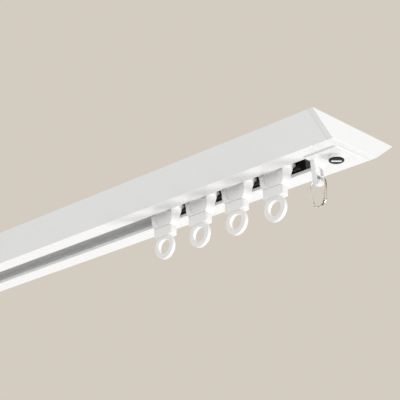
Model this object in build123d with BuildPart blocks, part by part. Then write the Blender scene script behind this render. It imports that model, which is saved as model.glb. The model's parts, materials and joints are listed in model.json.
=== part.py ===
from build123d import *
import math
import os

# Ceiling curtain track with roller gliders and clamped end stops. Millimetres, Z up.
# The origin is the middle of the face that lies against the ceiling.
# X runs along the track, towards the end where the gliders are parked. The front faces -Y.

os.makedirs("parts", exist_ok=True)

# Track profile: a hollow extrusion with a slotted channel between two closed side chambers
track_length = 600.0
top_width = 50.0
bottom_width = 27.0
track_height = 9.1
rim_height = 0.4
slot_width = 10.7
lip_thickness = 1.6
channel_width = 23.2
web_thickness = 2.0
roof_thickness = 1.4
wall_thickness = 1.0
skin_thickness = 1.2
chamber_floor_width = 0.8
corner_radius = 0.35
lip_edge_radius = 0.25

# Countersunk holes in the web for the ceiling screws
screw_count = 4
screw_pitch = 160.0
screw_hole_radius = 1.9
countersink_radius = 3.3
countersink_angle = 90

# End caps
cap_thickness = 2.6
cap_edge_radius = 0.3
plug_clearance = 0.15
plug_length = 8.0
channel_plug_length = 2.0

# Gliders: the carriage rolls on the lips, the hanger passes down through the slot
wheel_radius = 2.5
wheel_width = 2.8
wheel_edge_radius = 0.4
wheel_dish_depth = 0.4
wheel_dish_radius = 1.7
hub_radius = 1.1
hub_height = 0.2
rolling_gap = 0.05
wheelbase = 10.6
axle_radius = 0.6
axle_end_radius = 0.2
running_clearance = 0.05
carriage_length = 21.45
carriage_width = 11.4
carriage_height = 4.4
carriage_lip_gap = 0.35
carriage_corner_radius = 0.5
carriage_side_wall = 0.9
carriage_end_wall = 2.15
ledge_height = 1.0
bumper_width = 14.6
end_notch_width = 6.2
end_notch_height = 2.55
wheel_side_gap = 0.3
wheel_end_gap = 0.3
head_fit = 0.1
head_drop = 0.5
neck_shoulder_height = 1.4
neck_flare_height = 3.9
neck_straight_drop = 1.4
neck_slot_half_length = 6.45
neck_waist_half_length = 5.2
neck_top_half_depth = 3.0
neck_slot_half_depth = 2.7
neck_waist_half_depth = 2.45
neck_drop = 5.1
neck_edge_radius = 0.4
recess_radius = 4.1
recess_drop = 0.6
recess_floor_half_depth = 2.1

# Swivelling eyelet under each hanger
swivel_gap = 0.1
pin_radius = 0.9
pin_head_radius = 1.6
pin_head_height = 1.2
pin_head_clearance = 0.2
pin_seat_height = 2.2
pin_grip = 2.2
pin_hole_spare = 0.2
block_half_length = 5.45
block_half_depth = 2.45
block_height = 4.15
block_corner_radius = 1.5
block_edge_radius = 0.5
block_top_edge_radius = 0.2
ring_outer_radius = 5.7
ring_hole_radius = 3.4
ring_depth = 2.0
ring_edge_radius = 0.35
ring_centre_drop = 4.65

# End stops: a plate under the lips, a screw up into a clamp plate above them, and a wire link
stop_end_distance = 3.5
stop_length = 16.5
stop_width = 15.0
stop_plate_thickness = 0.6
stop_corner_radius = 1.2
stop_edge_radius = 0.25
spigot_clearance = 0.15
spigot_setback = 0.4
spigot_lip_gap = 0.2
buffer_length = 3.4
buffer_height = 4.5
boss_inset = 5.8
boss_radius = 3.3
boss_height = 1.6
cover_radius = 3.1
cover_thickness = 0.5
cover_edge_radius = 0.2
screw_radius = 1.5
stop_screw_head_radius = 2.4
stop_screw_head_height = 1.2
stop_screw_cross_length = 3.0
stop_screw_cross_width = 0.8
stop_screw_cross_depth = 0.6
screw_recess_clearance = 0.2
screw_tip_height = 5.0
clamp_plate_length = 7.0
clamp_plate_width = 21.6
clamp_plate_thickness = 1.5
clamp_plate_corner_radius = 1.0
lug_thickness = 2.3
lug_top_half_width = 3.9
lug_tip_half_width = 2.3
lug_tip_corner_radius = 1.7
lug_drop = 10.5
lug_edge_radius = 0.6
lug_hole_radius = 0.95
lug_hole_drop = 7.0
pocket_half_width = 2.2
pocket_top_drop = 2.6
pocket_floor_spare = 1.3
pocket_depth = 1.0
wire_radius = 0.6
link_bend_radius = 3.5
link_straight = 5.2

# Gliders as parked: the last one from the end of the track, the others pushed up against it
glider_count = 4
last_glider_from_end = 41.65
parked_gap = 0.2

# Fillets take at most this share of the wall they round, and faces this near count as in line
rounding_share = 0.45
in_line = 0.01

# Levels and places that follow from the sizes above
profile_length = track_length - 2 * cap_thickness
underside = -track_height
lip_top = underside + lip_thickness
web_underside = -web_thickness
chamber_wall = channel_width / 2 + wall_thickness
slope_run = (top_width - bottom_width) / 2
slope_rise = track_height - rim_height
slope_length = math.hypot(slope_run, slope_rise)
skin_level_width = skin_thickness * slope_length / slope_rise
wheel_centre = lip_top + rolling_gap + wheel_radius
carriage_bottom = lip_top + carriage_lip_gap
carriage_top = carriage_bottom + carriage_height
head_top = carriage_top - head_drop
ledge_top = carriage_bottom + ledge_height
head_bottom = ledge_top + head_fit
head_half_length = carriage_length / 2 - carriage_end_wall - head_fit
head_half_depth = carriage_width / 2 - carriage_side_wall - head_fit
bumper_start = wheelbase / 2 + wheel_radius + wheel_end_gap
neck_bottom = underside - neck_drop
axle_hole_radius = axle_radius + running_clearance
wheel_inner_face = carriage_width / 2 + wheel_side_gap
wheel_outer_face = wheel_inner_face + wheel_width
pin_seat = underside + pin_seat_height
block_top = neck_bottom - swivel_gap
block_bottom = block_top - block_height
ring_centre = block_bottom - ring_centre_drop
pin_bottom = block_top - pin_grip
stop_outer_end = track_length / 2 - stop_end_distance
stop_inner_end = stop_outer_end - stop_length
stop_bottom = underside - stop_plate_thickness
boss_centre = stop_outer_end - boss_inset
boss_bottom = stop_bottom - boss_height
cover_bottom = boss_bottom - cover_thickness
lug_centre = stop_inner_end + lug_thickness / 2
lug_hole_level = underside - lug_hole_drop


def half_width(level):
    """Half of the track's width at a level on its sloping faces."""
    return top_width / 2 - slope_run * (-level - rim_height) / slope_rise


def level_of(half):
    """The level at which the track is twice this half width."""
    return -rim_height - (top_width / 2 - half) * slope_rise / slope_run


def section_outline():
    """Corners of the track's outline, as places across the track and levels."""
    top = top_width / 2
    bottom = bottom_width / 2
    right = [(bottom, underside), (top, -rim_height), (top, 0)]
    left = [(-across, level) for across, level in reversed(right)]
    return right + left


def chamber_outline(side):
    """Corners of the closed chamber between a channel wall and a sloping skin."""
    floor_edge = chamber_wall + chamber_floor_width
    floor = level_of(floor_edge + skin_level_width)
    roof_edge = half_width(-roof_thickness) - skin_level_width
    corners = [
        (chamber_wall, -roof_thickness),
        (roof_edge, -roof_thickness),
        (floor_edge, floor),
        (chamber_wall, floor),
    ]
    return [(side * across, level) for across, level in corners]


def rounding(radius, room):
    """A fillet radius, kept under what the wall leaves room for."""
    return min(radius, rounding_share * room)


def keep(builder, name):
    """Names a finished piece and writes it."""
    builder.part.label = name
    export_step(builder.part, f"parts/{name}.step")


def track_profile():
    with BuildPart() as profile:
        with BuildSketch(Plane.YZ.offset(-profile_length / 2)) as section:
            with BuildLine():
                Polyline(*section_outline(), close=True)
            make_face()
            lower_corners = section.vertices().group_by(Axis.Y)[0]
            fillet(lower_corners, corner_radius)
            with Locations((0, (web_underside + lip_top) / 2)):
                Rectangle(channel_width, web_underside - lip_top, mode=Mode.SUBTRACT)
            with Locations((0, underside)):
                Rectangle(slot_width, 2 * lip_thickness, mode=Mode.SUBTRACT)
            for side in (-1, 1):
                with BuildLine():
                    Polyline(*chamber_outline(side), close=True)
                make_face(mode=Mode.SUBTRACT)
            lip_edges = [
                corner
                for corner in section.vertices()
                if abs(abs(corner.X) - slot_width / 2) < in_line
            ]
            fillet(lip_edges, rounding(lip_edge_radius, lip_thickness))
        extrude(amount=profile_length)
        with Locations(Plane(origin=(0, 0, web_underside), x_dir=(1, 0, 0), z_dir=(0, 0, -1))):
            with GridLocations(screw_pitch, 0, screw_count, 1):
                CounterSinkHole(
                    radius=screw_hole_radius,
                    counter_sink_radius=countersink_radius,
                    depth=web_thickness,
                    counter_sink_angle=countersink_angle,
                )
    keep(profile, "track_profile")


def end_cap(side, name):
    """Plate over the end of the profile, with plugs into the side chambers and the channel."""
    seat = side * profile_length / 2
    with BuildPart() as cap:
        with BuildSketch(Plane.YZ.offset(seat)) as outline:
            with BuildLine():
                Polyline(*section_outline(), close=True)
            make_face()
            fillet(outline.vertices().group_by(Axis.Y)[0], corner_radius)
        extrude(amount=side * cap_thickness)
        outer_face = cap.faces().sort_by(Axis.X)[-1 if side > 0 else 0]
        fillet(outer_face.edges(), rounding(cap_edge_radius, rim_height))
        for wing in (-1, 1):
            with BuildSketch(Plane.YZ.offset(seat)):
                with BuildLine():
                    Polyline(*chamber_outline(wing), close=True)
                make_face()
                offset(amount=-plug_clearance, kind=Kind.INTERSECTION)
            extrude(amount=-side * plug_length)
        with BuildSketch(Plane.YZ.offset(seat)):
            with Locations((0, (web_underside + lip_top) / 2)):
                Rectangle(
                    channel_width - 2 * plug_clearance,
                    web_underside - lip_top - 2 * plug_clearance,
                )
        extrude(amount=-side * channel_plug_length)
    keep(cap, name)


def end_stop(side, name):
    """Moulded stop: plate under the lips, tongue and buffer in the slot, boss and hanging lug."""
    tongue_inner = stop_inner_end + spigot_setback
    tongue_outer = profile_length / 2 - plug_clearance
    tongue_width = slot_width - 2 * spigot_clearance
    lug_inner = Plane.YZ.offset(side * stop_inner_end)
    lug_outer = Plane.YZ.offset(side * (stop_inner_end + lug_thickness))
    lug_root = stop_bottom + stop_plate_thickness / 2
    lug_tip = underside - lug_drop
    with BuildPart() as stop:
        with BuildSketch(lug_inner) as lug:
            with BuildLine():
                Polyline(
                    (-lug_top_half_width, lug_root),
                    (-lug_tip_half_width, lug_tip),
                    (lug_tip_half_width, lug_tip),
                    (lug_top_half_width, lug_root),
                    close=True,
                )
            make_face()
            fillet(lug.vertices().group_by(Axis.Y)[0], lug_tip_corner_radius)
        extrude(amount=side * lug_thickness)
        rims = [
            edge
            for face in stop.faces().filter_by(Axis.X)
            for edge in face.edges()
            if edge.center().Z < lug_root - in_line
        ]
        fillet(rims, lug_edge_radius)
        with BuildSketch(Plane.XY.offset(stop_bottom)):
            with Locations((side * (stop_inner_end + stop_outer_end) / 2, 0)):
                RectangleRounded(stop_length, stop_width, stop_corner_radius)
        extrude(amount=stop_plate_thickness)
        plate_rim = [
            edge
            for edge in stop.edges().filter_by_position(Axis.Z, stop_bottom - in_line, stop_bottom + in_line)
            if abs(edge.center().Y) > lug_top_half_width or side * edge.center().X > boss_centre
        ]
        fillet(plate_rim, stop_edge_radius)
        with BuildSketch(Plane.XY.offset(underside)):
            with Locations((side * (tongue_inner + tongue_outer) / 2, 0)):
                Rectangle(tongue_outer - tongue_inner, tongue_width)
        extrude(amount=lip_thickness - spigot_lip_gap)
        with BuildSketch(Plane.XY.offset(underside)):
            with Locations((side * (tongue_inner + buffer_length / 2), 0)):
                Rectangle(buffer_length, tongue_width)
        extrude(amount=buffer_height)
        with BuildSketch(Plane.XY.offset(boss_bottom)):
            with Locations((side * boss_centre, 0)):
                Circle(boss_radius)
        extrude(amount=boss_height + stop_plate_thickness / 2)
        with BuildSketch(lug_outer):
            pocket_top = underside - pocket_top_drop - pocket_half_width
            pocket_floor = lug_hole_level - pocket_floor_spare
            with Locations((0, pocket_top)):
                Circle(pocket_half_width)
            with Locations((0, (pocket_top + pocket_floor) / 2)):
                Rectangle(2 * pocket_half_width, pocket_top - pocket_floor)
        extrude(amount=-side * pocket_depth, mode=Mode.SUBTRACT)
        with BuildSketch(lug_inner):
            with Locations((0, lug_hole_level)):
                Circle(lug_hole_radius)
        extrude(amount=side * lug_thickness, mode=Mode.SUBTRACT)
        with BuildSketch(Plane.XY.offset(boss_bottom)):
            with Locations((side * boss_centre, 0)):
                Circle(screw_radius + running_clearance)
        extrude(amount=boss_height + stop_plate_thickness + lip_thickness, mode=Mode.SUBTRACT)
        with BuildSketch(Plane.XY.offset(boss_bottom)):
            with Locations((side * boss_centre, 0)):
                Circle(stop_screw_head_radius + screw_recess_clearance)
        extrude(amount=stop_screw_head_height + screw_recess_clearance, mode=Mode.SUBTRACT)
    keep(stop, name)


def stop_clamp_plate(side, name):
    """Threaded steel plate that lies on the lips, inside the channel."""
    with BuildPart() as plate:
        with BuildSketch(Plane.XY.offset(lip_top)):
            with Locations((side * boss_centre, 0)):
                RectangleRounded(clamp_plate_length, clamp_plate_width, clamp_plate_corner_radius)
                Circle(screw_radius, mode=Mode.SUBTRACT)
        extrude(amount=clamp_plate_thickness)
    keep(plate, name)


def stop_screw(side, name):
    """Pan-head screw with a crossed recess, up through the stop into the clamp plate."""
    head_bottom_level = boss_bottom + screw_recess_clearance
    shank_bottom = head_bottom_level + stop_screw_head_height
    with BuildPart() as screw:
        with BuildSketch(Plane.XY.offset(head_bottom_level)):
            with Locations((side * boss_centre, 0)):
                Circle(stop_screw_head_radius)
        extrude(amount=stop_screw_head_height)
        with BuildSketch(Plane.XY.offset(shank_bottom)):
            with Locations((side * boss_centre, 0)):
                Circle(screw_radius)
        extrude(amount=underside + screw_tip_height - shank_bottom)
        with BuildSketch(Plane.XY.offset(head_bottom_level)):
            with Locations((side * boss_centre, 0)):
                Rectangle(stop_screw_cross_length, stop_screw_cross_width)
                Rectangle(stop_screw_cross_width, stop_screw_cross_length)
        extrude(amount=stop_screw_cross_depth, mode=Mode.SUBTRACT)
    keep(screw, name)


def stop_cover(side, name):
    """Thin round cover over the screw."""
    with BuildPart() as cover:
        with BuildSketch(Plane.XY.offset(cover_bottom)):
            with Locations((side * boss_centre, 0)):
                Circle(cover_radius)
        extrude(amount=cover_thickness)
        fillet(cover.edges().group_by(Axis.Z)[0], rounding(cover_edge_radius, cover_thickness))
    keep(cover, name)


def hook_link(side, name):
    """Closed wire loop that hangs through the lug's hole."""
    centre = side * lug_centre
    upper_bend = lug_hole_level - link_bend_radius
    lower_bend = upper_bend - link_straight
    with BuildPart() as link:
        with BuildLine(Plane.XZ) as path:
            near_leg = Line((centre - link_bend_radius, upper_bend), (centre - link_bend_radius, lower_bend))
            ThreePointArc(
                near_leg @ 1,
                (centre, lower_bend - link_bend_radius),
                (centre + link_bend_radius, lower_bend),
            )
            far_leg = Line((centre + link_bend_radius, lower_bend), (centre + link_bend_radius, upper_bend))
            ThreePointArc(far_leg @ 1, (centre, lug_hole_level), near_leg @ 0)
        with BuildSketch(Plane(origin=near_leg @ 0, z_dir=near_leg % 0)):
            Circle(wire_radius)
        sweep(path=path.wires()[0])
    keep(link, name)


def hanger(x, name):
    """White body of a glider: head on the carriage's ledges, neck down through the slot."""
    middle = Plane(origin=(x, 0, 0), x_dir=(1, 0, 0), z_dir=(0, -1, 0))
    shoulder = underside + neck_shoulder_height
    flare_top = underside + neck_flare_height
    straight_bottom = underside - neck_straight_drop
    with BuildPart() as neck:
        with BuildSketch(middle):
            with BuildLine():
                Line((0, neck_bottom), (neck_waist_half_length, neck_bottom))
                TangentArc(
                    (neck_slot_half_length, straight_bottom),
                    (neck_waist_half_length, neck_bottom),
                    tangent=(0, -1),
                )
                Polyline(
                    (neck_slot_half_length, straight_bottom),
                    (neck_slot_half_length, underside),
                    (0, underside),
                )
                mirror(about=Plane.YZ)
            make_face()
        extrude(amount=neck_slot_half_depth, both=True)
        with BuildSketch(Plane.YZ.offset(x)):
            with BuildLine():
                taper = [(neck_waist_half_depth, neck_bottom), (neck_slot_half_depth, underside)]
                back = [(-across, level) for across, level in reversed(taper)]
                Polyline(*taper, *back, close=True)
            make_face()
        extrude(amount=neck_slot_half_length, both=True, mode=Mode.INTERSECT)
        corners = [
            edge
            for edge in neck.edges()
            if neck_bottom + in_line < edge.center().Z < underside - in_line
            and abs(edge.center().Y) > neck_waist_half_depth
        ]
        fillet(corners, neck_edge_radius)
    with BuildPart() as body:
        with BuildSketch(middle):
            with BuildLine():
                Line((0, underside), (neck_slot_half_length, underside))
                TangentArc(
                    (neck_slot_half_length, underside),
                    (head_half_length, flare_top),
                    tangent=(0, 1),
                )
                Polyline((head_half_length, flare_top), (head_half_length, head_top), (0, head_top))
                mirror(about=Plane.YZ)
            make_face()
        extrude(amount=head_half_depth, both=True)
        with BuildSketch(Plane.YZ.offset(x)):
            with BuildLine():
                profile = [
                    (neck_slot_half_depth, underside),
                    (neck_top_half_depth, shoulder),
                    (neck_top_half_depth, head_bottom),
                    (head_half_depth, head_bottom),
                    (head_half_depth, head_top),
                ]
                back = [(-across, level) for across, level in reversed(profile)]
                Polyline(*profile, *back, close=True)
            make_face()
        extrude(amount=head_half_length, both=True, mode=Mode.INTERSECT)
        add(neck.part)
        for face in (-1, 1):
            with BuildSketch(Plane.XZ.offset(-face * recess_floor_half_depth)):
                with Locations((x, underside - recess_drop)):
                    Circle(recess_radius)
                with Locations((x, shoulder + recess_radius)):
                    Rectangle(2 * recess_radius, 2 * recess_radius, mode=Mode.SUBTRACT)
            extrude(amount=-face * (neck_top_half_depth - recess_floor_half_depth), mode=Mode.SUBTRACT)
        with BuildSketch(Plane.XZ):
            with Locations((x - wheelbase / 2, wheel_centre), (x + wheelbase / 2, wheel_centre)):
                Circle(axle_hole_radius)
        extrude(amount=head_half_depth, both=True, mode=Mode.SUBTRACT)
        with BuildSketch(Plane.XY.offset(neck_bottom)):
            with Locations((x, 0)):
                Circle(pin_radius + running_clearance)
        extrude(amount=pin_seat - neck_bottom, mode=Mode.SUBTRACT)
        with BuildSketch(Plane.XY.offset(pin_seat)):
            with Locations((x, 0)):
                Circle(pin_head_radius + pin_head_clearance)
        extrude(amount=head_top - pin_seat, mode=Mode.SUBTRACT)
    keep(body, name)


def carriage(x, name):
    """Black frame: ledges under the hanger's head, wide notched ends and bores for the axles."""
    half_length = carriage_length / 2
    pocket_half_length = head_half_length + head_fit
    with BuildPart() as frame:
        with BuildSketch(Plane.XY.offset(carriage_bottom)):
            with Locations((x, 0)):
                Rectangle(carriage_length, carriage_width)
            for end in (-1, 1):
                with Locations((x + end * (half_length + bumper_start) / 2, 0)):
                    Rectangle(half_length - bumper_start, bumper_width)
        extrude(amount=carriage_height)
        end_corners = [
            edge
            for edge in frame.edges().filter_by(Axis.Z)
            if abs(edge.center().X - x) > half_length - in_line
        ]
        fillet(end_corners, carriage_corner_radius)
        with BuildSketch(Plane.XY.offset(ledge_top)):
            with Locations((x, 0)):
                Rectangle(2 * pocket_half_length, carriage_width - 2 * carriage_side_wall)
        extrude(amount=carriage_top - ledge_top, mode=Mode.SUBTRACT)
        with BuildSketch(Plane.XY.offset(carriage_bottom)):
            with Locations((x, 0)):
                Rectangle(2 * pocket_half_length, 2 * (neck_top_half_depth + head_fit))
        extrude(amount=ledge_height, mode=Mode.SUBTRACT)
        with BuildSketch(Plane.YZ.offset(x)):
            with Locations((0, carriage_bottom + end_notch_height / 2)):
                Rectangle(end_notch_width, end_notch_height)
        extrude(amount=half_length, both=True, mode=Mode.SUBTRACT)
        with BuildSketch(Plane.XZ):
            with Locations((x - wheelbase / 2, wheel_centre), (x + wheelbase / 2, wheel_centre)):
                Circle(axle_hole_radius)
        extrude(amount=carriage_width, both=True, mode=Mode.SUBTRACT)
    keep(frame, name)


def axle(x, name):
    """Steel cross axle with rounded ends."""
    with BuildPart() as rod:
        with BuildSketch(Plane.XZ):
            with Locations((x, wheel_centre)):
                Circle(axle_radius)
        extrude(amount=wheel_outer_face, both=True)
        fillet(rod.edges().group_by(Axis.Y)[0], axle_end_radius)
        fillet(rod.edges().group_by(Axis.Y)[-1], axle_end_radius)
    keep(rod, name)


def wheel(x, side, name):
    """Wheel with rounded tread edges, a dished outer face and a hub towards the carriage."""
    across = [
        (axle_radius, wheel_inner_face - hub_height),
        (hub_radius, wheel_inner_face - hub_height),
        (hub_radius, wheel_inner_face),
        (wheel_radius - wheel_edge_radius, wheel_inner_face),
        (wheel_radius, wheel_inner_face + wheel_edge_radius),
        (wheel_radius, wheel_outer_face - wheel_edge_radius),
        (wheel_radius - wheel_edge_radius, wheel_outer_face),
        (wheel_dish_radius, wheel_outer_face),
        (hub_radius, wheel_outer_face - wheel_dish_depth),
        (axle_radius, wheel_outer_face - wheel_dish_depth),
    ]
    with BuildPart() as disc:
        with BuildSketch(Plane(origin=(x, 0, wheel_centre), x_dir=(1, 0, 0), z_dir=(0, 0, side))):
            with BuildLine():
                Polyline(*across, close=True)
            make_face()
        revolve(axis=Axis((x, 0, wheel_centre), (0, 1, 0)), revolution_arc=360)
    keep(disc, name)


def eyelet(x, name):
    """Swivelling block, rounded all over, with a ring for the curtain hook."""
    with BuildPart() as eye:
        with BuildSketch(Plane.XY.offset(block_bottom)):
            with Locations((x, 0)):
                RectangleRounded(2 * block_half_length, 2 * block_half_depth, block_corner_radius)
        extrude(amount=block_height)
        levels = eye.edges().group_by(Axis.Z)
        fillet(levels[0], block_edge_radius)
        fillet(levels[-1], block_top_edge_radius)
        with BuildSketch(Plane.XY.offset(ring_centre)):
            with Locations((x + (ring_outer_radius + ring_hole_radius) / 2, 0)):
                RectangleRounded(ring_outer_radius - ring_hole_radius, ring_depth, ring_edge_radius)
        revolve(axis=Axis((x, 0, ring_centre), (0, 1, 0)), revolution_arc=360)
        with BuildSketch(Plane.XY.offset(block_top)):
            with Locations((x, 0)):
                Circle(pin_radius)
        extrude(amount=-(pin_grip + pin_hole_spare), mode=Mode.SUBTRACT)
    keep(eye, name)


def swivel_pin(x, name):
    """Headed pin pressed into the eyelet, turning in the hanger."""
    with BuildPart() as pin:
        with BuildSketch(Plane.XY.offset(pin_bottom)):
            with Locations((x, 0)):
                Circle(pin_radius)
        extrude(amount=pin_seat + running_clearance - pin_bottom)
        with BuildSketch(Plane.XY.offset(pin_seat + running_clearance)):
            with Locations((x, 0)):
                Circle(pin_head_radius)
        extrude(amount=pin_head_height)
    keep(pin, name)


def glider(number, x):
    """One glider, centred at x."""
    hanger(x, f"hanger_{number}")
    carriage(x, f"carriage_{number}")
    for end, along in (("left", -wheelbase / 2), ("right", wheelbase / 2)):
        axle(x + along, f"axle_{number}_{end}")
        wheel(x + along, 1, f"wheel_{number}_{end}_back")
        wheel(x + along, -1, f"wheel_{number}_{end}_front")
    eyelet(x, f"eyelet_{number}")
    swivel_pin(x, f"swivel_pin_{number}")


track_profile()
for side, end in ((1, "right"), (-1, "left")):
    end_cap(side, f"end_cap_{end}")
    end_stop(side, f"end_stop_{end}")
    stop_clamp_plate(side, f"stop_clamp_plate_{end}")
    stop_screw(side, f"stop_screw_{end}")
    stop_cover(side, f"stop_cover_{end}")
    hook_link(side, f"hook_link_{end}")

last_glider = track_length / 2 - last_glider_from_end
for number in range(1, glider_count + 1):
    glider(number, last_glider - (glider_count - number) * (carriage_length + parked_gap))
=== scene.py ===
import json
import math

import bmesh
import bpy
from mathutils import Matrix, Vector


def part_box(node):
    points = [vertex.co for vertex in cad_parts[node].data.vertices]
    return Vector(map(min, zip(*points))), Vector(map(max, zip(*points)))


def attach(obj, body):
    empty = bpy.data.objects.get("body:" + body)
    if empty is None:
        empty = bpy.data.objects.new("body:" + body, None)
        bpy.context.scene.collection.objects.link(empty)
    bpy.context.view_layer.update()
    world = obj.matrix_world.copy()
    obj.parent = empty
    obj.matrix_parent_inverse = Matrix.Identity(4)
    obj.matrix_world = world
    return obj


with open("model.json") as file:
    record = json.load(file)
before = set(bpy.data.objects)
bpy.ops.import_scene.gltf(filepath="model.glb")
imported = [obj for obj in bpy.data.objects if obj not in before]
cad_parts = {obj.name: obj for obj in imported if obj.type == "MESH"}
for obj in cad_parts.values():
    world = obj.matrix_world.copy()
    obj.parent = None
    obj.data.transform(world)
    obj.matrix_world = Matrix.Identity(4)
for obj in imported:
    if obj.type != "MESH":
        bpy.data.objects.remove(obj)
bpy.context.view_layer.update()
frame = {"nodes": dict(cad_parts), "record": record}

# Ceiling curtain track seen from below and in front. Metres, Z up, origin in the middle of the ceiling face.
GLIDERS = (1, 2, 3, 4)

# Camera: where the photographer stood, and the long lens that gives the photograph's perspective
CAMERA_PLACE = (0.5842, -0.3740, -0.2229)
CAMERA_YAW = 44.643
CAMERA_PITCH = 22.343
CAMERA_ROLL = 0.309
LENS = 117.49
SENSOR = 36.0
CLIP_NEAR = 0.01
CLIP_FAR = 100

# Room: the floor lies a usual ceiling height below the track
FLOOR_LEVEL = -2.3
FLOOR_SIZE = 60.0
BACKDROP = (0.658, 0.604, 0.533)

# Soft light from all round, a wide key lamp to the right, behind and below, a weak fill lamp in front,
# and a wide panel behind that only shows as a sheen on the faces that look down
AMBIENT = 0.71
LAMP_TARGET = (0.25, 0, 0)
KEY_PLACE = (1.86, 1.3, -1.27)
KEY_SIZE = 0.9
KEY_WATTS = 35
FILL_PLACE = (1.0, -2.3, -0.35)
FILL_SIZE = 1.2
FILL_WATTS = 7
SHEEN_PLACE = (-1.31, 1.58, -0.91)
SHEEN_SIZE = 2.2
SHEEN_WATTS = 11

# Painted shade of the hairline gap between the profile and each cap, drawn as a thin grey plate, in millimetres
BOTTOM_HALF_WIDTH = 13.5
RIM_HEIGHT = 0.4
CAP_SEAM_WIDTH = 0.16
CAP_SEAM_PROUD = 0.02

# Mould line round each ring, in millimetres
RING_RADIUS = 5.7
SEAM_HEIGHT = 0.05
SEAM_HALF_WIDTH = 0.09
SEAM_STEPS = 96

# Pad in each recess of the hangers, in millimetres, with its level above the foot of the hanger
PAD_RADIUS = 2.3
PAD_THICKNESS = 0.09
PAD_LEVEL = 3.6
PAD_SEAT = 2.1
PAD_SIDES = 48
PAD_EDGE_STEPS = 2

# Painted shade of the joint in the wire of each link, drawn as a dark sleeve, in millimetres, at this many
# degrees below the bend's side
WIRE_RADIUS = 0.6
LINK_RADIUS = 3.5
JOINT_DROP = 20
JOINT_LENGTH = 0.14
JOINT_GROWTH = 1.01
JOINT_SIDES = 32

# Printed bar on each round cover, in millimetres, turned by this many degrees
MARK_LENGTH = 4.2
MARK_WIDTH = 1.3
MARK_TURN = 44
MARK_THICKNESS = 0.04
MARK_CORNER = 0.3
MARK_CORNER_STEPS = 4

# Grain of the finishes, in noise cycles per metre, and how deep it goes, in millimetres
DRAW_LINES = (4, 1400, 1400)
TRACK_PEEL = 900
TRACK_CLOUD = 18
MOULD_CLOUD = 60
MOULD_GRAIN = 2600
SPARK_GRAIN = 3200
RUBBED_SPOTS = 240
ZINC_CLOUD = 420
ZINC_GRAIN = 2200
# The wire's streak scale serves both the real drawing scratches and the painted reflection streaks in its
# colour.
WIRE_MARKS_AND_REFLECTION = (1100, 1100, 70)
COVER_SMEAR = 500
FINE_RELIEF = 0.02
SPARK_RELIEF = 0.03
WIRE_RELIEF = 0.01


def metres(mm):
    return mm / 1000


class Finish:
    """A material made of nodes, with the few node kinds that all the finishes share."""

    def __init__(self, name, colour, roughness, metallic=0.0):
        self.material = bpy.data.materials.new(name)
        self.material.use_nodes = True
        self.nodes = self.material.node_tree.nodes
        self.links = self.material.node_tree.links
        self.shader = self.nodes["Principled BSDF"]
        self.shader.inputs["Base Color"].default_value = (*colour, 1)
        self.shader.inputs["Roughness"].default_value = roughness
        self.shader.inputs["Metallic"].default_value = metallic
        self.place = self.nodes.new("ShaderNodeTexCoord").outputs["Object"]

    def stretched(self, scale):
        """Object coordinates, stretched by a scale for each axis."""
        mapping = self.nodes.new("ShaderNodeMapping")
        mapping.inputs["Scale"].default_value = scale
        self.links.new(self.place, mapping.inputs["Vector"])
        return mapping.outputs["Vector"]

    def noise(self, scale, detail=3.0, vector=None):
        """Noise of a grain of about 1 / scale metres."""
        node = self.nodes.new("ShaderNodeTexNoise")
        node.inputs["Scale"].default_value = scale
        node.inputs["Detail"].default_value = detail
        self.links.new(vector or self.place, node.inputs["Vector"])
        return node.outputs["Fac"]

    def spread(self, value, low, high, from_low=0.3, from_high=0.7):
        """The value, mapped to a range."""
        node = self.nodes.new("ShaderNodeMapRange")
        node.inputs["From Min"].default_value = from_low
        node.inputs["From Max"].default_value = from_high
        node.inputs["To Min"].default_value = low
        node.inputs["To Max"].default_value = high
        self.links.new(value, node.inputs["Value"])
        return node.outputs["Result"]

    def blend(self, factor, first, second):
        """One colour turning into another."""
        node = self.nodes.new("ShaderNodeMix")
        node.data_type = "RGBA"
        for socket, colour in (("A_Color", first), ("B_Color", second)):
            target = next(s for s in node.inputs if s.identifier == socket)
            if isinstance(colour, tuple):
                target.default_value = (*colour, 1)
            else:
                self.links.new(colour, target)
        self.links.new(factor, next(s for s in node.inputs if s.identifier == "Factor_Float"))
        return next(s for s in node.outputs if s.identifier == "Result_Color")

    def colour(self, output):
        """Takes the base colour from a node."""
        self.links.new(output, self.shader.inputs["Base Color"])

    def roughness(self, output):
        """Takes the roughness from a node."""
        self.links.new(output, self.shader.inputs["Roughness"])

    def coat(self, weight, roughness):
        """Clear gloss over the colour."""
        self.shader.inputs["Coat Weight"].default_value = weight
        self.shader.inputs["Coat Roughness"].default_value = roughness

    def bump(self, height, strength, depth_mm):
        """Raises the surface by a height, over what is there already."""
        node = self.nodes.new("ShaderNodeBump")
        node.inputs["Strength"].default_value = strength
        node.inputs["Distance"].default_value = metres(depth_mm)
        self.links.new(height, node.inputs["Height"])
        if self.shader.inputs["Normal"].is_linked:
            self.links.new(self.shader.inputs["Normal"].links[0].from_socket, node.inputs["Normal"])
        self.links.new(node.outputs["Normal"], self.shader.inputs["Normal"])


def coated_track():
    """White stoved coating on the extrusion: faint draw lines along it and a fine orange peel."""
    finish = Finish("coated_track", (0.88, 0.88, 0.875), 0.3)
    lines = finish.noise(1.0, detail=2.0, vector=finish.stretched(DRAW_LINES))
    peel = finish.noise(TRACK_PEEL, detail=2.0)
    cloud = finish.noise(TRACK_CLOUD)
    finish.colour(finish.blend(finish.spread(cloud, 0, 1), (0.872, 0.872, 0.866), (0.89, 0.89, 0.886)))
    finish.roughness(finish.spread(peel, 0.26, 0.34))
    finish.bump(lines, strength=0.06, depth_mm=FINE_RELIEF)
    finish.bump(peel, strength=0.08, depth_mm=FINE_RELIEF)
    finish.coat(weight=0.35, roughness=0.09)
    return finish.material


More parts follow.
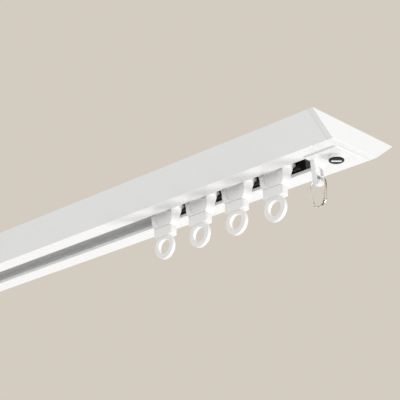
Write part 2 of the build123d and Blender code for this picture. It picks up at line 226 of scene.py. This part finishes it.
def moulded_white(name, colour, roughness, gloss=0.0):
    """Smooth moulded plastic: a faint cloudiness and the texture of the mould."""
    finish = Finish(name, colour, roughness)
    finish.coat(weight=gloss, roughness=0.12)
    cloud = finish.noise(MOULD_CLOUD)
    grain = finish.noise(MOULD_GRAIN, detail=2.0)
    darker = tuple(0.975 * channel for channel in colour)
    finish.colour(finish.blend(finish.spread(cloud, 0, 1), darker, colour))
    finish.roughness(finish.spread(grain, roughness - 0.05, roughness + 0.05))
    finish.bump(grain, strength=0.05, depth_mm=FINE_RELIEF)
    return finish.material


def moulded_black(name, roughness):
    """Black moulded plastic with a fine spark-eroded grain and grey rubbed spots."""
    finish = Finish(name, (0.007, 0.007, 0.007), roughness)
    finish.shader.inputs["Specular IOR Level"].default_value = 0.22
    grain = finish.noise(SPARK_GRAIN)
    rub = finish.noise(RUBBED_SPOTS, detail=4.0)
    rubbed = finish.spread(rub, 0, 1, from_low=0.5, from_high=0.75)
    finish.colour(finish.blend(rubbed, (0.005, 0.005, 0.005), (0.013, 0.013, 0.012)))
    finish.roughness(finish.spread(grain, roughness - 0.08, roughness + 0.08))
    finish.bump(grain, strength=0.25, depth_mm=SPARK_RELIEF)
    return finish.material


def zinc_steel():
    """Zinc-plated steel, slightly clouded."""
    finish = Finish("zinc_steel", (0.6, 0.61, 0.62), 0.34, metallic=1.0)
    cloud = finish.noise(ZINC_CLOUD, detail=4.0)
    finish.colour(finish.blend(finish.spread(cloud, 0, 1), (0.52, 0.53, 0.55), (0.68, 0.68, 0.67)))
    finish.roughness(finish.spread(cloud, 0.27, 0.42))
    finish.bump(finish.noise(ZINC_GRAIN, detail=2.0), strength=0.08, depth_mm=FINE_RELIEF)
    return finish.material


def bright_wire():
    """Bright plated wire with drawing scratches along it in roughness and bump, and dark and light streaks
    along it in its colour, which are painted reflection.
    """
    finish = Finish("bright_wire", (0.95, 0.95, 0.94), 0.09, metallic=1.0)
    marks_and_reflection = finish.noise(1.0, detail=2.0, vector=finish.stretched(WIRE_MARKS_AND_REFLECTION))
    painted_reflection = finish.spread(marks_and_reflection, 0, 1, from_low=0.42, from_high=0.5)
    finish.roughness(finish.spread(marks_and_reflection, 0.1, 0.24))
    # The dark and light streaks in the colour are painted reflection: they stand for the dark and bright
    # surroundings mirrored in the metal.
    finish.colour(finish.blend(painted_reflection, (0.3, 0.27, 0.25), (0.97, 0.97, 0.965)))
    finish.bump(marks_and_reflection, strength=0.05, depth_mm=WIRE_RELIEF)
    return finish.material


def printed_black():
    """Deep black of the round cover, with faint smears."""
    finish = Finish("printed_black", (0.004, 0.004, 0.004), 0.4)
    finish.shader.inputs["Specular IOR Level"].default_value = 0.12
    smear = finish.noise(COVER_SMEAR)
    finish.roughness(finish.spread(smear, 0.34, 0.46))
    finish.colour(finish.blend(finish.spread(smear, 0, 1), (0.003, 0.003, 0.003), (0.007, 0.007, 0.007)))
    return finish.material


SLOTS = {
    "track_white": coated_track(),
    "fitting_white": moulded_white("moulded_fitting", (0.87, 0.87, 0.866), 0.3, gloss=0.3),
    "glider_white": moulded_white("moulded_glider", (0.92, 0.907, 0.893), 0.38),
    "carriage_black": moulded_black("moulded_black", 0.42),
    "cover_black": printed_black(),
    "plain_steel": zinc_steel(),
    "bright_wire": bright_wire(),
}
# The grey of this finish is painted shade: it stands for the shadow in the hairline gap between each cap and
# the profile.
SEAM_PAINTED_SHADE = moulded_white("seam_painted_shade", (0.64, 0.64, 0.64), 0.6)
MARK_PRINT = moulded_white("printed_white", (0.85, 0.85, 0.85), 0.45)
# This black is painted shade: it stands for the shadow in the crack where the two ends of each wire link meet.
WIRE_JOINT_PAINTED_SHADE = moulded_black("wire_joint_painted_shade", 0.5)


def dress_nodes():
    """Gives each CAD node the finish of its material slot."""
    for row in frame["record"]["subparts"]:
        node = frame["nodes"][row["node"]]
        finish = SLOTS[row["material_slot"]]
        if node.data.materials:
            for index in range(len(node.data.materials)):
                node.data.materials[index] = finish
        else:
            node.data.materials.append(finish)


def backdrop():
    """Beige for the camera, reflections and clear pieces, and plain soft light for everything else."""
    world = bpy.data.worlds.new("room")
    world.use_nodes = True
    nodes = world.node_tree.nodes
    links = world.node_tree.links
    light = nodes["Background"]
    light.inputs["Color"].default_value = (1, 1, 1, 1)
    light.inputs["Strength"].default_value = AMBIENT
    seen = nodes.new("ShaderNodeBackground")
    seen.inputs["Color"].default_value = (*BACKDROP, 1)
    seen.inputs["Strength"].default_value = 1.0
    path = nodes.new("ShaderNodeLightPath")
    mirrored = nodes.new("ShaderNodeMath")
    mirrored.operation = "MAXIMUM"
    links.new(path.outputs["Is Glossy Ray"], mirrored.inputs[0])
    links.new(path.outputs["Is Transmission Ray"], mirrored.inputs[1])
    direct = nodes.new("ShaderNodeMath")
    direct.operation = "MAXIMUM"
    links.new(path.outputs["Is Camera Ray"], direct.inputs[0])
    links.new(mirrored.outputs[0], direct.inputs[1])
    choose = nodes.new("ShaderNodeMixShader")
    links.new(direct.outputs[0], choose.inputs["Fac"])
    links.new(light.outputs["Background"], choose.inputs[1])
    links.new(seen.outputs["Background"], choose.inputs[2])
    links.new(choose.outputs["Shader"], nodes["World Output"].inputs["Surface"])
    bpy.context.scene.world = world


def solid(name, form, finish, smooth=False):
    """Turns a finished bmesh into an object at the origin."""
    bmesh.ops.recalc_face_normals(form, faces=form.faces[:])
    mesh = bpy.data.meshes.new(name)
    form.to_mesh(mesh)
    form.free()
    for face in mesh.polygons:
        face.use_smooth = smooth
    mesh.materials.append(finish)
    holder = bpy.data.objects.new(name, mesh)
    bpy.context.scene.collection.objects.link(holder)
    return holder


def middle(node):
    """Centre of a node at rest."""
    low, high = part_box(node)
    return (Vector(low) + Vector(high)) / 2


def edge_rise(edge):
    """How far an edge climbs from one end to the other."""
    return abs(edge.verts[0].co.z - edge.verts[1].co.z)


def floor():
    """Plain pale floor of the room, which lets the light from all round reach the track from below."""
    form = bmesh.new()
    bmesh.ops.create_grid(form, x_segments=1, y_segments=1, size=FLOOR_SIZE / 2)
    bmesh.ops.translate(form, verts=form.verts[:], vec=(0, 0, FLOOR_LEVEL))
    finish = Finish("pale_floor", BACKDROP, 0.8)
    ground = solid("floor", form, finish.material)
    ground.visible_diffuse = False


def painted_cap_seam_shade(end, side):
    """Painted shade of the hairline gap where the cap meets the profile: a thin grey plate, a hair larger than
    the section.
    """
    low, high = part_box("track_profile")
    proud = metres(CAP_SEAM_PROUD)
    bottom = (metres(BOTTOM_HALF_WIDTH) + proud, low[2] - proud)
    rim = (high[1] + proud, high[2] - metres(RIM_HEIGHT))
    top = (high[1] + proud, high[2] - proud)
    outline = [bottom, rim, top] + [(-across, level) for across, level in (top, rim, bottom)]
    place = side * high[0] - metres(CAP_SEAM_WIDTH / 2)
    form = bmesh.new()
    section = form.faces.new([form.verts.new((place, across, level)) for across, level in outline])
    grown = bmesh.ops.extrude_face_region(form, geom=[section])["geom"]
    moved = [item for item in grown if isinstance(item, bmesh.types.BMVert)]
    bmesh.ops.translate(form, verts=moved, vec=(metres(CAP_SEAM_WIDTH), 0, 0))
    # The grey plate is painted shade of the gap between the cap and the profile.
    seam = solid(f"painted_cap_seam_shade_{end}", form, SEAM_PAINTED_SHADE)
    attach(seam, "track")


def eyelet_seam(number):
    """Fine raised line that the two halves of the mould leave round the ring."""
    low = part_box(f"eyelet_{number}")[0]
    centre = middle(f"eyelet_{number}")
    centre.z = low[2] + metres(RING_RADIUS)
    form = bmesh.new()
    root = metres(RING_RADIUS - SEAM_HEIGHT)
    crest = metres(RING_RADIUS + SEAM_HEIGHT)
    half = metres(SEAM_HALF_WIDTH)
    corners = [form.verts.new(centre + Vector(at)) for at in ((root, -half, 0), (crest, 0, 0), (root, half, 0))]
    edges = [form.edges.new(pair) for pair in zip(corners, corners[1:] + corners[:1])]
    bmesh.ops.spin(
        form, geom=corners + edges, cent=centre, axis=(0, 1, 0), angle=math.tau, steps=SEAM_STEPS,
        use_merge=True, use_duplicate=False,
    )
    seam = solid(f"eyelet_seam_{number}", form, SLOTS["glider_white"], True)
    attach(seam, f"eyelet_{number}")


def hanger_pad(number, side, face):
    """Low round pad in the middle of the hanger's round recess."""
    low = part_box(f"hanger_{number}")[0]
    centre = middle(f"hanger_{number}")
    form = bmesh.new()
    bmesh.ops.create_cone(
        form, cap_ends=True, cap_tris=False, segments=PAD_SIDES, depth=metres(2 * PAD_THICKNESS),
        radius1=metres(PAD_RADIUS), radius2=metres(PAD_RADIUS),
    )
    rims = [edge for edge in form.edges if edge_rise(edge) < metres(PAD_THICKNESS)]
    bmesh.ops.bevel(
        form, geom=rims, offset=metres(PAD_THICKNESS / 2), segments=PAD_EDGE_STEPS, profile=0.5,
        affect="EDGES", material=-1,
    )
    bmesh.ops.rotate(form, verts=form.verts[:], cent=(0, 0, 0), matrix=Matrix.Rotation(math.pi / 2, 3, "X"))
    seat = Vector((centre.x, side * metres(PAD_SEAT), low[2] + metres(PAD_LEVEL)))
    bmesh.ops.translate(form, verts=form.verts[:], vec=seat)
    pad = solid(f"hanger_pad_{number}_{face}", form, SLOTS["glider_white"])
    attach(pad, f"glider_{number}")


def painted_link_joint_shade(end, side):
    """Painted shade of the hairline crack where the two ends of the bent wire meet: a dark sleeve a hair wider
    than the wire.
    """
    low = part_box(f"hook_link_{end}")[0]
    centre = middle(f"hook_link_{end}")
    centre.z = low[2] + metres(LINK_RADIUS + WIRE_RADIUS)
    turn = math.radians(JOINT_DROP)
    form = bmesh.new()
    radius = metres(JOINT_GROWTH * WIRE_RADIUS)
    bmesh.ops.create_cone(
        form, cap_ends=True, cap_tris=False, segments=JOINT_SIDES, depth=metres(JOINT_LENGTH),
        radius1=radius, radius2=radius,
    )
    bmesh.ops.rotate(form, verts=form.verts[:], cent=(0, 0, 0), matrix=Matrix.Rotation(side * turn, 3, "Y"))
    at = centre + metres(LINK_RADIUS) * Vector((side * math.cos(turn), 0, -math.sin(turn)))
    bmesh.ops.translate(form, verts=form.verts[:], vec=at)
    # The dark sleeve is painted shade of the crack between the wire's ends.
    joint = solid(f"painted_link_joint_shade_{end}", form, WIRE_JOINT_PAINTED_SHADE)
    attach(joint, f"link_{end}")


def stop_mark(end, side):
    """Printed indicator bar on the round cover, plain and with rounded corners."""
    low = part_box(f"stop_cover_{end}")[0]
    centre = middle(f"stop_cover_{end}")
    centre.z = low[2]
    form = bmesh.new()
    bmesh.ops.create_cube(form, size=1)
    size = (metres(MARK_LENGTH), metres(MARK_WIDTH), metres(2 * MARK_THICKNESS))
    bmesh.ops.scale(form, verts=form.verts[:], vec=size)
    corners = [edge for edge in form.edges if edge_rise(edge) > metres(MARK_THICKNESS)]
    bmesh.ops.bevel(
        form, geom=corners, offset=metres(MARK_CORNER), segments=MARK_CORNER_STEPS, profile=0.5,
        affect="EDGES", material=-1,
    )
    turn = Matrix.Rotation(side * math.radians(MARK_TURN), 3, "Z")
    bmesh.ops.rotate(form, verts=form.verts[:], cent=(0, 0, 0), matrix=turn)
    bmesh.ops.translate(form, verts=form.verts[:], vec=centre)
    mark = solid(f"stop_mark_{end}", form, MARK_PRINT)
    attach(mark, "track")


def lamp(name, place, target, size, watts):
    """Square soft lamp that points at a target and isn't seen by the camera."""
    data = bpy.data.lights.new(name, "AREA")
    data.size = size
    data.energy = watts
    holder = bpy.data.objects.new(name, data)
    holder.location = place
    aim = Vector(target) - Vector(place)
    holder.rotation_euler = aim.to_track_quat("-Z", "Y").to_euler()
    holder.visible_camera = False
    bpy.context.scene.collection.objects.link(holder)
    return holder


def camera():
    """The photographer's camera."""
    data = bpy.data.cameras.new("camera")
    data.sensor_width = SENSOR
    data.lens = LENS
    data.clip_start = CLIP_NEAR
    data.clip_end = CLIP_FAR
    holder = bpy.data.objects.new("camera", data)
    turn = Matrix.Rotation(math.radians(CAMERA_YAW), 4, "Z")
    tilt = Matrix.Rotation(math.radians(90 + CAMERA_PITCH), 4, "X")
    roll = Matrix.Rotation(math.radians(CAMERA_ROLL), 4, "Z")
    holder.matrix_world = Matrix.Translation(CAMERA_PLACE) @ turn @ tilt @ roll
    bpy.context.scene.collection.objects.link(holder)
    bpy.context.scene.camera = holder


camera()
dress_nodes()
for number in GLIDERS:
    eyelet_seam(number)
    hanger_pad(number, -1, "front")
    hanger_pad(number, 1, "back")
for end, side in (("right", 1), ("left", -1)):
    painted_cap_seam_shade(end, side)
    painted_link_joint_shade(end, side)
    stop_mark(end, side)
backdrop()
floor()
lamp("key", KEY_PLACE, LAMP_TARGET, KEY_SIZE, KEY_WATTS)
lamp("fill", FILL_PLACE, LAMP_TARGET, FILL_SIZE, FILL_WATTS)
sheen = lamp("sheen", SHEEN_PLACE, LAMP_TARGET, SHEEN_SIZE, SHEEN_WATTS)
sheen.visible_diffuse = False
bpy.context.scene.view_settings.view_transform = "Standard"
